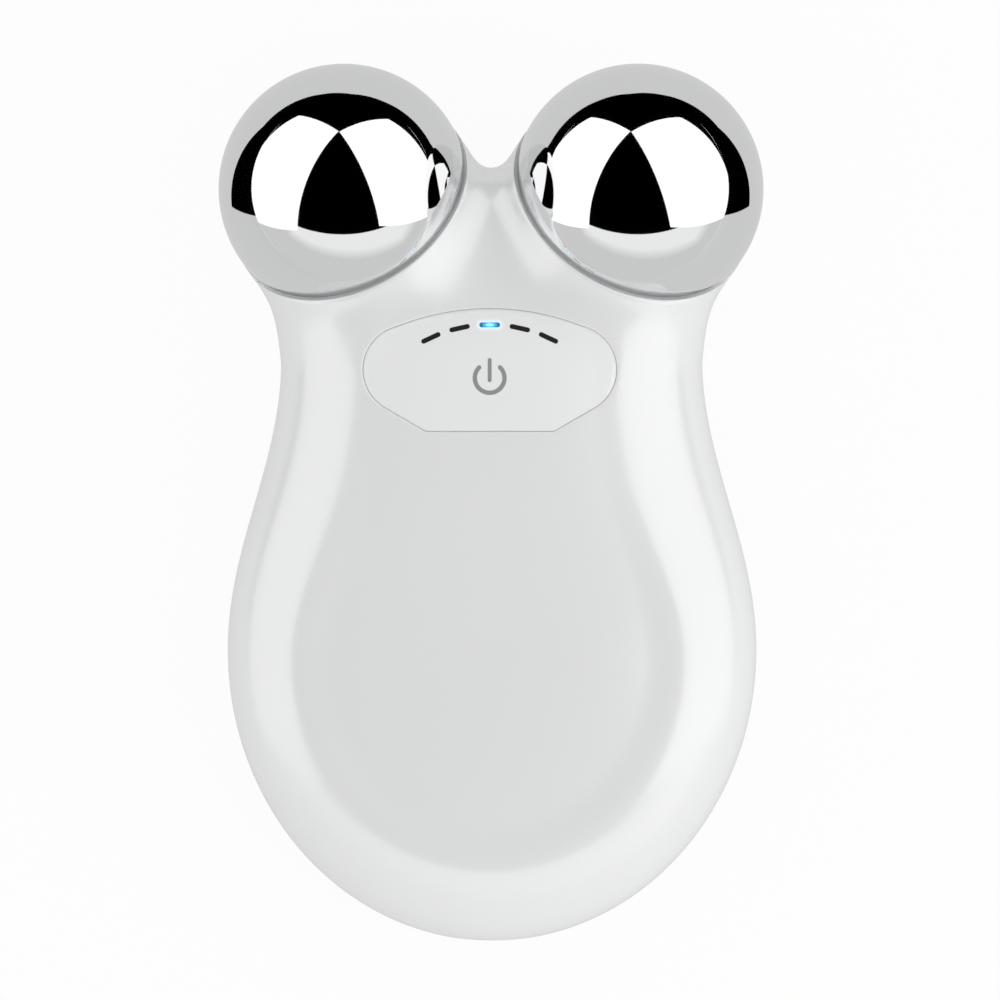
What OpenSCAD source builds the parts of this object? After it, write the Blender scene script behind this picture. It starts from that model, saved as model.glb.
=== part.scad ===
// Facial toning device: a palm-sized white housing with a narrow neck, two chrome spheres that lean
// forward and outward, and one power key with five indicator bars set flush in its front.
// Millimetres. The device lies on its back: +Z is the front, +Y runs up to the spheres.

/* [Housing outline] */
// Greatest width of the housing
body_w = 66.2; // [60:0.2:72]
// Width at the neck, below the spheres
neck_w = 52.6; // [48:0.2:56]
// Length from the widest line down to the tail
tail_len = 36.4; // [33:0.2:42]
// Length from the widest line up to the neck
waist_len = 36.9; // [34:0.2:42]
// Length of the core from the neck to under the saddle
head_len = 20; // [17:0.5:23]

/* [Housing depth] */
// Height of the widest line above the back
side_h = 12; // [11:0.5:14]
// Rise of that line from the belly to the head
side_rise = 3.5; // [2:0.5:5]
// Height of the front at the belly
belly_h = 27; // [26:0.5:30]
// Height of the front at the key
crown_h = 29.4; // [28.6:0.2:31]
// Exponent of the front's cross-section: 2 is an ellipse
front_power = 2.6; // [2.2:0.1:3.2]
// Exponent of the back's cross-section
back_power = 2.4; // [2.2:0.1:3]
// Depth cut off the back for the flat rest
rest_cut = 0.35; // [0.2:0.05:0.6]
// Depth of the shallow dish in the front
dish_depth = 1.4; // [0.3:0.1:2]
// Place of the dish's edge, as a part of the half-width
dish_edge = 0.68; // [0.6:0.01:0.75]
// Width of that edge, as a part of the half-width
dish_soft = 0.18; // [0.14:0.02:0.36]
// How much narrower the dish is at the key, as a part of the half-width
dish_taper = 0.12; // [0:0.01:0.16]
// Part of the dish's depth that is left at the key
dish_key = 0.25; // [0:0.05:0.5]
// Thickness of the housing's walls
wall = 1.8; // [1.4:0.1:2.2]
// Fall of the front from the key to the saddle
head_fall = 3; // [2:0.5:4]
// Width of the blend between the housing and the sphere cups
neck_blend = 8; // [5:0.5:9]
// Width of the blend between the two cups, which makes the saddle
saddle_blend = 8.6; // [7.4:0.2:11]

/* [Spheres] */
// Diameter of each chrome sphere
ball_d = 30; // [28:0.2:31]
// Distance between the centres of the spheres
ball_pitch = 38; // [37:0.5:42]
// Distance of the centres above the neck, along the length
ball_up = 21.7; // [20:0.2:24]
// Height of the centres above the back
ball_h = 21; // [20:0.5:23]
// Lean of the sphere's axis away from the front direction
ball_lean = 44.5; // [38:0.5:50]
// Outward swing of the sphere's axis
ball_toe = 32.5; // [27:0.5:38]
// Distance from the centre down to the chrome rim
rim_drop = 3.9; // [3:0.1:5]
// How far the rim flares beyond the sphere
rim_flare = 0.75; // [0.2:0.05:0.9]
// Wall of the hollow chrome sphere
ball_wall = 1.4; // [1:0.1:2]
// Depth of the spigot below the rim
spigot_h = 2; // [1.6:0.1:2.4]
// Radius of the central post
post_r = 3.2; // [2.8:0.1:4]
// Thickness of the cup floor
floor_t = 1.6; // [1.3:0.1:2]
// How far the white cup stands out beyond the rim
lip = 0.1; // [0.05:0.05:0.4]

/* [Power key] */
// Half-width of the key at its widest
key_half = 15.8; // [14:0.1:16.5]
// Length of the key along the housing
key_len = 15.3; // [14:0.1:16]
// Height of the widest level of the key above its lower edge
key_side_up = 7.7; // [6.5:0.1:8.5]
// Distance of the key's lower edge below the neck
key_below_neck = 9.6; // [9:0.1:10.5]
// Radius of the key's crown arc
key_crown_r = 31; // [26:0.5:36]
// Radius of the key's upper corners
key_corner_r = 5.5; // [4:0.5:6.5]
// Width of the key's straight lower edge
key_foot_w = 17.8; // [14:0.2:20]
// Travel of the key and of the switch stem
key_travel = 0.3; // [0.2:0.05:0.4]
// Thickness of the key's side walls
key_wall = 0.8; // [0.6:0.05:0.9]

/* [Indicators] */
// Number of indicator bars, an odd number
bars = 5; // [3:2:5]
// Radius of the arc the bars lie on
bar_arc_r = 17.3; // [16:0.1:19]
// Angle from one bar to the next
bar_step = 12.5; // [11:0.5:14]
// Length of a bar
bar_len = 2.6; // [2:0.1:3]
// Width of a bar
bar_w = 0.62; // [0.5:0.02:0.8]

/* [Board and switch] */
// Height of the main board's top face above the back
board_top = 20; // [19.4:0.1:20.4]
// Thickness of the boards
board_t = 1; // [0.8:0.1:1.2]
// Width of the main board
board_w = 37; // [35:0.5:39]
// Length of the main board
board_len = 47; // [45:0.5:49]
// Width of the switch body
switch_w = 6; // [5:0.1:6.5]
// Height of the switch body
switch_h = 3.5; // [3.2:0.1:3.7]
// Radius of the switch stem
stem_r = 1.75; // [1.4:0.05:2]
// Outer radius of the screw bosses
boss_r = 2.4; // [2:0.1:2.6]
// Radius of the board screws' shanks
screw_r = 0.8; // [0.7:0.05:0.9]

/* [Battery] */
// Width of the battery
battery_w = 25; // [22:0.5:27]
// Length of the battery
battery_len = 36; // [32:0.5:38]
// Thickness of the battery
battery_t = 6.2; // [5:0.1:7]
// Height of the battery's underside above the back
battery_z = 3.3; // [3.2:0.1:4]
// Thickness of the foam pad under it
pad_t = 0.8; // [0.5:0.1:1]

/* [Charging] */
// Width of the charging socket
socket_w = 8.9; // [8.6:0.1:9.4]
// Height of the charging socket
socket_h = 3.2; // [3:0.1:3.4]
// Length of the charging socket
socket_len = 7.4; // [7:0.1:8.5]
// Width of the charging board
charger_w = 17; // [15:0.5:18]
// Length of the charging board
charger_len = 15; // [14:0.5:16]

/* [Fits] */
// Gap round the key
key_gap = 0.15; // [0.1:0.05:0.25]
// Gap between fixed pieces that fit into each other
fit = 0.1; // [0.05:0.01:0.15]
// Radial clearance of the sliding stem
slide_fit = 0.05; // [0.03:0.01:0.08]

/* [Hidden] */

// Places along the length, measured from the middle of the whole device
overall = tail_len + waist_len + ball_up + ball_d / 2;
tail_y = -overall / 2;
widest_y = tail_y + tail_len;
neck_y = widest_y + waist_len;
ball_y = neck_y + ball_up;
ball_r = ball_d / 2;
rim_r = ball_r + rim_flare;
cup_r = rim_r + lip;
// Unit vector of the right sphere's axis, and the centre of its rim
axis = [sin(ball_lean) * sin(ball_toe), sin(ball_lean) * cos(ball_toe), cos(ball_lean)];
ball_c = [ball_pitch / 2, ball_y, ball_h];
rim_c = ball_c - rim_drop * axis;

// Levels along the sphere's axis, from the sphere's centre
ledge_s = -rim_drop - fit;
floor_s = ledge_s - spigot_h - 0.4;
under_s = floor_s - floor_t;
spigot_r = rim_r - ball_wall;
neck_r = 2;
thread_r = 1.2;
lug_t = 0.5;
lug_r = 4;
ball_head_r = 2.4;
ball_head_h = 1.7;
seal_t = spigot_h / 4;

// Power key levels
key_y = neck_y - key_below_neck;
key_side_y = key_y + key_side_up;
key_crown_half = key_half - key_corner_r / 2;
key_foot_r = 1.2;
key_ceiling = crown_h - 3;
tab_t = 0.9;
tab_out = 1.3;
shelf_z = crown_h - 3.9;
tab_top = shelf_z - slide_fit;
key_foot_z = tab_top - tab_t;
bar_y = key_y + 13.25;
bar_arc_y = bar_y - bar_arc_r;
baffle_top = key_ceiling - key_travel - 0.2;
baffle_slot = 1;
baffle_wall = 0.45;
switch_y = key_side_y - 0.7;
stem_top = board_top + switch_h + 1.1;
stem_foot = board_top + switch_h - 1;

// Snap tabs of the rear shell
tab_w = 4;
tab_up = 2;
tab_root = 3;
tab_gap = 0.8;
snap_pitch = 8;

// Board, battery and charging places
board_y = key_y + key_len + 0.3 - board_len;
board_screw_at = [[15, key_y - 6.5], [14, board_y + 4]];
battery_y = key_y + 3 - battery_len;
charger_z = side_h - socket_h / 2 - board_t;
charger_y = tail_y + 4.4;
charger_screw_at = [charger_w / 2 - 2.6, charger_y + charger_len - 2.6];
connector_w = 6;
connector_x = board_w / 2 - 10.5;
lead_step = connector_w / 4;
chip_w = 7;
chip_y = board_y + 20;
coil_r = 4;
coil_h = 5;
coil_x = -2 * coil_r;
coil_y = board_y + 10;
can_r = 2.25;
can_h = 6;
can_x = 2.5;
can_step = can_r + can_r + 1;
split_z = side_h;
split_y = neck_y - 6;
split_low_z = 4.2;
split_low_y = neck_y + 29.5;

// Facet counts of the housing's skins
ring_n = 60;
tail_n = 9;
waist_n = 12;
head_n = 15;

// ---- Shape of the housing -------------------------------------------------------------------

function ease(t) = (1 - cos(180 * min(max(t, 0), 1))) / 2;

// Half-width of the housing's outline between the widest line and the neck
function half_width(y) =
    (body_w - (body_w - neck_w) * ease((y - widest_y) / waist_len)) / 2;

// Outline gauge: 0 on the middle line and 1 on the outline
function gauge(x, y) =
    y < widest_y ? norm([2 * x / body_w, (y - widest_y) / tail_len])
    : y < neck_y ? abs(x) / half_width(y)
    : norm([2 * x / neck_w, (y - neck_y) / head_len]);

// Height of the widest line, and of the front along the middle line
function side_z(y) =
    side_h + side_rise * ease((y - widest_y - waist_len / 2) / (waist_len / 2 + head_len / 2));
function front_z(y) =
    belly_h + (crown_h - belly_h) * ease((y - widest_y) / (waist_len + 2))
    - head_fall * ease((y - neck_y) / (0.7 * head_len));

// The front's dish sinks the middle, and grows narrow and shallow towards the key
function dish(g, y) =
    let (up = ease((y - widest_y + 3) / 27), edge = dish_edge - dish_taper * up)
    dish_depth * (1 - (1 - dish_key) * up) * (1 - ease((g - edge) / dish_soft + 0.5));

// Distance of a point from the core of the housing, negative inside
function core_distance(p) =
    let (g = max(gauge(p.x, p.y), 0.0001), mid = side_z(p.y))
    let (front = p.z > mid)
    let (h = front ? front_z(p.y) - dish(g, p.y) - mid : mid + rest_cut)
    let (n = front ? front_power : back_power, v = max(abs(p.z - mid) / h, 0.0001))
    let (s = pow(pow(g, n) + pow(v, n), 1 / n))
    (s - 1) / norm([pow(g / s, n - 1) * 2 / body_w, pow(v / s, n - 1) / h]);

// Distance from the round cup that carries the sphere on one side
function cup_distance(p) = norm(p - rim_c) - cup_r;

// Smooth union of two distances over a blend of width k
function blend(a, b, k) = min(a, b) - pow(max(k - abs(a - b), 0), 2) / (4 * k);

function housing_distance(p) =
    let (x = abs(p.x), near = cup_distance([x, p.y, p.z]), far = cup_distance([-x, p.y, p.z]))
    blend(core_distance(p), blend(near, far, saddle_blend), neck_blend);

// Distance along a ray at which the housing's skin, sunk by depth, is met
function reach(from, way, depth, lo = 0, hi = 64, turns = 15) =
    turns == 0 ? (lo + hi) / 2
    : let (mid = (lo + hi) / 2)
    housing_distance(from + mid * way) < -depth
        ? reach(from, way, depth, mid, hi, turns - 1)
        : reach(from, way, depth, lo, mid, turns - 1);

// The spine is a line inside the housing. Each station is a place on it and a pitch of its rays.
spine_tail = [0, tail_y + 0.62 * tail_len, side_h];
spine_head = [0, neck_y + 7, side_h + side_rise];
function stations(k) = [
    for (i = [1 : tail_n * k - 1]) [0, -90 + 90 * i / (tail_n * k)],
    for (i = [0 : waist_n * k]) [i / (waist_n * k), 0],
    for (i = [1 : head_n * k - 1]) [1, 90 * i / (head_n * k)]];

function skin_point(station, turn, depth) =
    let (from = spine_tail + station[0] * (spine_head - spine_tail))
    let (way = [cos(station[1]) * cos(turn), sin(station[1]), cos(station[1]) * sin(turn)])
    from + reach(from, way, depth) * way;

// The housing's skin as one closed solid, sunk by depth; k scales the number of facets
module skin(depth = 0, k = 1) {
    rows = stations(k);
    n = ceil(ring_n * k / 4) * 4;
    rings = [for (row = rows) for (j = [0 : n - 1]) skin_point(row, 360 * j / n, depth)];
    poles = [skin_point([0, -90], 0, depth), skin_point([1, 90], 0, depth)];
    last = len(rows) - 1;
    tail_pole = len(rings);
    sides = [for (i = [0 : last - 1]) for (j = [0 : n - 1])
        let (a = i * n + j, b = i * n + (j + 1) % n)
        each [[a, b, a + n], [b, b + n, a + n]]];
    tail_cap = [for (j = [0 : n - 1]) [(j + 1) % n, j, tail_pole]];
    head_cap = [for (j = [0 : n - 1]) [last * n + j, last * n + (j + 1) % n, tail_pole + 1]];
    polyhedron(concat(rings, poles), concat(sides, tail_cap, head_cap));
}

// Height of the front skin over a point of the plan
function top_z(x, y) = side_h + reach([x, y, side_h], [0, 0, 1], 0);

// Least half-width of the skin, sunk by depth, over a short run along the length at one height
function side_x(y, run, z, depth) =
    min([for (end = [-0.5, 0, 0.5]) reach([0, y + end * run, z], [1, 0, 0], depth)]);

// ---- Shared tools ---------------------------------------------------------------------------

// Puts children on the sphere's axis, with the sphere's centre as origin; side is 1 or -1
module on_axis(side) {
    mirror([side < 0 ? 1 : 0, 0, 0])
        translate(ball_c)
            rotate([-ball_lean, 0, -ball_toe])
                children();
}

// Space in front of the parting surface, which drops behind the sphere cups
module front_side() {
    translate([-body_w, 0, 0])
        rotate([90, 0, 90])
            linear_extrude(2 * body_w)
                polygon([[tail_y - 5, split_z], [split_y, split_z], [split_low_y, split_low_z],
                    [split_low_y + 30, split_low_z], [split_low_y + 30, 80], [tail_y - 5, 80]]);
}

// Bar with round ends, along X
module stadium(length, width) {
    square([length - width, width], center = true);
    for (side = [-1, 1])
        translate([side * (length - width) / 2, 0])
            circle(d = width, $fn = 24);
}

// Outline of the power key in plan, moved in by inset
module key_outline(inset = 0) {
    crown_y = key_y + key_len - key_crown_r;
    offset(delta = -inset)
        hull() {
            intersection() {
                translate([0, crown_y])
                    circle(r = key_crown_r, $fn = 120);
                translate([-key_crown_half, key_side_y])
                    square([2 * key_crown_half, key_len]);
            }
            for (side = [-1, 1]) {
                translate([side * (key_half - key_corner_r), key_side_y])
                    circle(r = key_corner_r, $fn = 32);
                translate([side * (key_foot_w / 2 - key_foot_r), key_y + key_foot_r])
                    circle(r = key_foot_r, $fn = 24);
            }
        }
}

// Places children at each indicator bar whose number passes the list
module at_bars(numbers) {
    for (i = numbers)
        translate([0, bar_arc_y, 0])
            rotate(-bar_step * i)
                translate([0, bar_arc_r, 0])
                    children();
}

bar_reach = (bars - 1) / 2;
all_bars = [for (i = [-bar_reach : bar_reach]) i];
dark_bars = [for (i = all_bars) if (i != 0) i];

// Direction of a path at one of its points, which halves the bend there
function heading(points, i) =
    let (before = points[max(i, 1)] - points[max(i, 1) - 1])
    let (last = len(points) - 1, after = points[min(i + 1, last)] - points[min(i, last - 1)])
    let (sum = before / norm(before) + after / norm(after))
    sum / norm(sum);

// Insulated wire through a list of points that never run along X
module wire(points, r, sides = 8) {
    last = len(points) - 1;
    rings = [for (i = [0 : last])
        let (ahead = heading(points, i), across = cross(ahead, [1, 0, 0]))
        let (u = across / norm(across), v = cross(ahead, u))
        for (j = [0 : sides - 1])
            points[i] + r * (cos(360 * j / sides) * u + sin(360 * j / sides) * v)];
    walls = [for (i = [0 : last - 1]) for (j = [0 : sides - 1])
        let (a = i * sides + j, b = i * sides + (j + 1) % sides)
        each [[a, a + sides, b], [b, a + sides, b + sides]]];
    start = [for (j = [0 : sides - 1]) j];
    end = [for (j = [sides - 1 : -1 : 0]) last * sides + j];
    polyhedron(rings, concat(walls, [start, end]));
}

// ---- Housing --------------------------------------------------------------------------------

// Everything taken away above and inside one sphere cup
module cup_cut() {
    translate([0, 0, floor_s])
        cylinder(r = spigot_r + fit, h = ball_r, $fn = 72);
    translate([0, 0, ledge_s])
        cylinder(r1 = cup_r + 0.15, r2 = cup_r + 12, h = 2 * ball_r, $fn = 72);
    translate([0, 0, under_s - 1])
        cylinder(r = neck_r + fit, h = 6, $fn = 32);
}

// Boss with four gussets that comes down from the front to the main board
module board_boss() {
    translate([0, 0, board_top])
        cylinder(r = boss_r, h = belly_h - board_top, $fn = 32);
    for (turn = [0 : 90 : 270])
        rotate(turn)
            hull() {
                translate([0, -0.4, board_top + 1])
                    cube([boss_r + 0.3, 0.8, 1]);
                translate([0, -0.4, belly_h - 2])
                    cube([boss_r + 2, 0.8, 2]);
            }
}

module front_shell() {
    color("white")
        difference() {
            union() {
                intersection() {
                    front_side();
                    difference() {
                        skin();
                        skin(wall, 0.7);
                    }
                }
                intersection() {
                    front_side();
                    skin();
                    union() {
                        for (side = [-1, 1]) {
                            on_axis(side)
                                translate([0, 0, under_s])
                                    cylinder(r = cup_r + 0.4, h = ball_r, $fn = 72);
                            for (at = board_screw_at)
                                translate([side * at.x, at.y, 0])
                                    board_boss();
                        }
                        translate([0, 0, shelf_z])
                            linear_extrude(10)
                                key_outline(-2.2);
                    }
                }
            }
            for (side = [-1, 1]) {
                on_axis(side)
                    cup_cut();
                for (at = board_screw_at)
                    translate([side * at.x, at.y, board_top - 1])
                        cylinder(r = screw_r + fit, h = 5, $fn = 24);
            }
            translate([0, 0, board_top])
                linear_extrude(20)
                    key_outline();
            socket_slot();
        }
}

// Slot in the tail for the charging socket
module socket_slot() {
    translate([0, tail_y - 2, side_h])
        rotate([-90, 0, 0])
            linear_extrude(8)
                stadium(socket_w + 2 * fit + 0.2, socket_h + 2 * fit + 0.2);
}

// Tab of the rear shell that hooks inside the front shell's edge
module snap_tab(y) {
    root_z = split_z - tab_root;
    x_root = side_x(y, tab_w, root_z, wall / 3);
    x_tip = side_x(y, tab_w, split_z + tab_up, wall) - tab_gap;
    hull() {
        translate([x_root - 1.4, y - tab_w / 2, root_z])
            cube([1.4, tab_w, 1]);
        translate([x_tip - 1.2, y - tab_w / 2, split_z - 0.6])
            cube([1.2, tab_w, tab_up + 0.6]);
    }
}

module rear_shell() {
    color("whitesmoke")
        difference() {
            union() {
                difference() {
                    intersection() {
                        skin();
                        translate([-body_w, tail_y - 5, 0])
                            cube([2 * body_w, 2 * overall, 60]);
                    }
                    skin(wall, 0.7);
                    front_side();
                }
                for (side = [-1, 1])
                    mirror([side < 0 ? 1 : 0, 0, 0])
                        for (i = [0 : 4])
                            snap_tab(widest_y + snap_pitch * (i - 1));
                intersection() {
                    skin(0.3, 0.6);
                    rear_ribs();
                }
            }
            for (side = [-1, 1])
                translate([side * charger_screw_at.x, charger_screw_at.y, charger_z - 4])
                    cylinder(r = screw_r + fit, h = 8, $fn = 24);
            socket_slot();
        }
}

// Battery tray and the posts under the charging board
module rear_ribs() {
    tray_x = battery_w / 2 + 0.3;
    tray_top = battery_z + battery_t - 1.5;
    for (side = [-1, 1]) {
        for (end = [0.12, 0.62])
            translate([side > 0 ? tray_x : -tray_x - 1.2, battery_y + end * battery_len, 0])
                cube([1.2, battery_len / 4, tray_top]);
        translate([side * charger_screw_at.x, charger_screw_at.y, 0])
            cylinder(r = boss_r, h = charger_z, $fn = 32);
    }
    for (end = [0, 1])
        translate([-battery_w / 4, battery_y + (end == 0 ? -1.5 : battery_len + 0.3), 0])
            cube([battery_w / 2, 1.2, tray_top]);
    for (i = [0 : 3])
        translate([-battery_w / 2 + 1, battery_y + battery_len * (i + 0.5) / 4 - 0.6, 0])
            cube([battery_w - 2, 1.2, battery_z - pad_t]);
}

// ---- Power key and indicators ---------------------------------------------------------------

module power_key() {
    color("white")
        difference() {
            union() {
                intersection() {
                    skin();
                    translate([0, 0, key_foot_z])
                        linear_extrude(20)
                            key_outline(key_gap);
                }
                key_tabs();
            }
            translate([0, 0, key_foot_z - 1])
                linear_extrude(key_ceiling - key_foot_z + 1)
                    difference() {
                        key_outline(key_gap + key_wall);
                        translate([0, switch_y])
                            circle(r = 2.2, $fn = 32);
                    }
            translate([0, switch_y, key_foot_z - 1])
                cylinder(r = 2.4, h = stem_top + slide_fit - key_foot_z + 1, $fn = 32);
            at_bars(all_bars)
                hull()
                    for (side = [-1, 1])
                        translate([side * (bar_len - bar_w) / 2, 0, key_foot_z])
                            cylinder(d = bar_w, h = 12, $fn = 24);
        }
}

// Four tabs that hold the key from below
module key_tabs() {
    for (side = [-1, 1]) {
        translate([side * (key_half - key_gap - 0.6), key_side_y, key_foot_z])
            linear_extrude(tab_t)
                square([2 * tab_out, 4], center = true);
        translate([side * (key_foot_w / 2 - 3.5), key_y + key_gap + 0.6, key_foot_z])
            linear_extrude(tab_t)
                square([4, 2 * tab_out], center = true);
    }
}

// One indicator lens, flush with the key's face
module lens(i) {
    at_bars([i])
        linear_extrude(top_z(bar_arc_r * sin(bar_step * i), bar_arc_y + bar_arc_r * cos(bar_step * i))
            - key_ceiling + 0.25)
            stadium(bar_len - slide_fit, bar_w - slide_fit);
}

module indicator_lenses() {
    color("dimgray")
        translate([0, 0, key_ceiling - 0.3])
            for (i = dark_bars)
                lens(i);
}

module lit_lens() {
    color("deepskyblue")
        translate([0, 0, key_ceiling - 0.3])
            lens(0);
}

// Block that keeps the light of each diode to its own lens
module light_baffle() {
    color("gainsboro")
        difference() {
            translate([0, 0, board_top])
                linear_extrude(baffle_top - board_top)
                    intersection() {
                        translate([0, bar_arc_y])
                            difference() {
                                circle(r = bar_arc_r + baffle_slot / 2 + baffle_wall, $fn = 96);
                                circle(r = bar_arc_r - baffle_slot / 2 - 2 * baffle_wall, $fn = 96);
                            }
                        translate([-9, bar_y - 4])
                            square([18, 6]);
                    }
            at_bars(all_bars)
                translate([0, 0, board_top - 1])
                    linear_extrude(20)
                        stadium(bar_len, baffle_slot);
        }
}

// ---- Spheres --------------------------------------------------------------------------------

module sphere_shell() {
    color("silver")
        difference() {
            union() {
                difference() {
                    union() {
                        intersection() {
                            sphere(r = ball_r, $fn = 128);
                            cylinder(r = 2 * ball_r, h = 2 * ball_r);
                        }
                        translate([0, 0, -rim_drop])
                            cylinder(r1 = rim_r, r2 = ball_r, h = rim_drop, $fn = 128);
                        translate([0, 0, -rim_drop - spigot_h])
                            cylinder(r = spigot_r, h = spigot_h + 1, $fn = 128);
                    }
                    sphere(r = ball_r - ball_wall, $fn = 128);
                    translate([0, 0, -ball_r])
                        cylinder(r = spigot_r - ball_wall, h = ball_r, $fn = 128);
                }
                translate([0, 0, floor_s])
                    cylinder(r = post_r, h = ball_r - ball_wall / 2 - floor_s, $fn = 48);
                translate([0, 0, under_s])
                    cylinder(r = neck_r, h = ball_r, $fn = 48);
            }
            translate([0, 0, under_s - 1])
                cylinder(r = thread_r + slide_fit, h = 9, $fn = 32);
        }
}

module left_sphere() {
    on_axis(-1)
        sphere_shell();
}

module right_sphere() {
    on_axis(1)
        sphere_shell();
}

// Flat rubber ring under the spigot
module seal_ring() {
    color("darkslategray")
        translate([0, 0, floor_s])
            difference() {
                cylinder(r = spigot_r, h = seal_t - 0.1, $fn = 96);
                translate([0, 0, -1])
                    cylinder(r = spigot_r - 2.4, h = 4, $fn = 96);
            }
}

module left_seal() {
    on_axis(-1)
        seal_ring();
}

module right_seal() {
    on_axis(1)
        seal_ring();
}

// Screw that pulls the sphere down from inside the housing
module sphere_screw() {
    color("silver")
        translate([0, 0, under_s - lug_t])
            difference() {
                union() {
                    cylinder(r = thread_r, h = 7, $fn = 32);
                    translate([0, 0, -ball_head_h])
                        cylinder(r = ball_head_r, h = ball_head_h, $fn = 48);
                }
                translate([0, 0, -ball_head_h - 1])
                    cylinder(r = 1.2, h = 1.9, $fn = 6);
            }
}

module left_sphere_screw() {
    on_axis(-1)
        sphere_screw();
}

module right_sphere_screw() {
    on_axis(1)
        sphere_screw();
}

// Ring lug clamped under the screw's head, with a tail for the lead
module contact_lug() {
    color("goldenrod")
        translate([0, 0, under_s - lug_t])
            linear_extrude(lug_t)
                difference() {
                    union() {
                        circle(r = lug_r, $fn = 48);
                        translate([-1.25, -lug_r - 3])
                            square([2.5, lug_r + 3]);
                    }
                    circle(r = thread_r + fit, $fn = 32);
                }
}

module left_contact_lug() {
    on_axis(-1)
        contact_lug();
}

module right_contact_lug() {
    on_axis(1)
        contact_lug();
}

// Point on the right sphere's axis frame, given in that frame
function axis_point(v) =
    let (q = [v.x, v.y * cos(ball_lean) + v.z * sin(ball_lean), v.z * cos(ball_lean) - v.y * sin(ball_lean)])
    ball_c + [q.x * cos(ball_toe) + q.y * sin(ball_toe), q.y * cos(ball_toe) - q.x * sin(ball_toe), q.z];

// Lead from the lug's tail to the upper edge of the main board
module electrode_lead(side, shade) {
    lead_r = 0.6;
    tail_s = under_s - lug_t - lead_r - 0.02;
    start = axis_point([0, -lug_r - 1, tail_s]);
    bend = axis_point([0, -lug_r - 3.6, tail_s]);
    landing = [board_w / 2 - 3.2, board_y + board_len - 6, board_top + lead_r + 0.05];
    color(shade)
        mirror([side < 0 ? 1 : 0, 0, 0])
            wire([start, bend, landing + [0, 2, 0.4], landing, landing - [0, 2, 0]], lead_r);
}

module left_electrode_lead() {
    electrode_lead(-1, "black");
}

module right_electrode_lead() {
    electrode_lead(1, "firebrick");
}

// ---- Main board -----------------------------------------------------------------------------

module main_board() {
    color("seagreen")
        translate([0, 0, board_top - board_t])
            difference() {
                linear_extrude(board_t)
                    polygon([[-board_w / 2, board_y], [board_w / 2, board_y],
                        [board_w / 2, board_y + board_len - 3], [board_w / 2 - 3, board_y + board_len],
                        [-board_w / 2 + 3, board_y + board_len], [-board_w / 2, board_y + board_len - 3]]);
                for (side = [-1, 1])
                    for (at = board_screw_at)
                        translate([side * at.x, at.y, -1])
                            cylinder(r = screw_r + 0.2, h = board_t + 2, $fn = 32);
            }
}

// Pan-head screw that points up, with its seat at the origin
module small_screw(length) {
    difference() {
        union() {
            cylinder(r = screw_r, h = length, $fn = 32);
            translate([0, 0, -1.2])
                cylinder(r = 1.7, h = 1.2, $fn = 32);
        }
        translate([0, 0, -2])
            cylinder(r = 0.8, h = 1.3, $fn = 6);
    }
}

module board_screws() {
    color("silver")
        for (side = [-1, 1])
            for (at = board_screw_at)
                translate([side * at.x, at.y, board_top - board_t])
                    small_screw(board_t + 3.5);
}

module indicator_leds() {
    color("lightyellow")
        at_bars(all_bars)
            translate([-0.8, -0.4, board_top])
                cube([1.6, 0.8, 0.7]);
}

module switch_body() {
    color("slategray")
        difference() {
            translate([-switch_w / 2, switch_y - switch_w / 2, board_top])
                cube([switch_w, switch_w, switch_h]);
            translate([0, switch_y, stem_foot - key_travel - slide_fit])
                cylinder(r = stem_r + slide_fit, h = 5, $fn = 48);
        }
}

module switch_stem() {
    color("black")
        translate([0, switch_y, stem_foot])
            cylinder(r = stem_r, h = stem_top - stem_foot, $fn = 48);
}

module controller_chip() {
    color("darkslategray")
        translate([-chip_w / 2, chip_y, board_top - board_t - 1.2])
            cube([chip_w, chip_w, 1.2]);
}

module boost_inductor() {
    color("dimgray")
        translate([coil_x, coil_y, board_top - board_t - coil_h])
            difference() {
                cylinder(r = coil_r, h = coil_h, $fn = 64);
                translate([0, 0, coil_h / 5])
                    difference() {
                        cylinder(r = coil_r + 1, h = 3 * coil_h / 5, $fn = 64);
                        cylinder(r = 3 * coil_r / 4, h = 3 * coil_h / 5, $fn = 64);
                    }
            }
}

module capacitors() {
    color("steelblue")
        for (i = [0 : 2])
            translate([can_x + can_step * i, coil_y, board_top - board_t - can_h])
                cylinder(r = can_r, h = can_h, $fn = 48);
}

// ---- Battery --------------------------------------------------------------------------------

module battery_cell() {
    color("lightsteelblue")
        translate([-battery_w / 2, battery_y, battery_z])
            cube([battery_w, battery_len, battery_t]);
}

module battery_pad() {
    color("black")
        translate([-battery_w / 2 + 2, battery_y + 2, battery_z - pad_t])
            cube([battery_w - 4, battery_len - 4, pad_t]);
}

module battery_connector() {
    color("ivory")
        translate([connector_x, board_y + 30, board_top - board_t - 4])
            cube([connector_w, 5, 4]);
}

module battery_leads() {
    wire_r = 0.5;
    color("firebrick")
        for (i = [0, 1])
            translate([connector_x + connector_w / 3 + lead_step * i, 0, 0])
                wire([[0, battery_y + battery_len + 0.02, battery_z + battery_t / 2],
                    [0, battery_y + battery_len + 2, battery_z + battery_t / 2],
                    [0, battery_y + battery_len + 2, board_top - board_t - 2],
                    [0, board_y + 35.02, board_top - board_t - 2]], wire_r);
}

// ---- Charging -------------------------------------------------------------------------------

module charging_board() {
    color("seagreen")
        difference() {
            translate([-charger_w / 2, charger_y, charger_z])
                cube([charger_w, charger_len, board_t]);
            for (side = [-1, 1])
                translate([side * charger_screw_at.x, charger_screw_at.y, charger_z - 1])
                    cylinder(r = screw_r + 0.2, h = board_t + 2, $fn = 32);
        }
}

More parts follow.
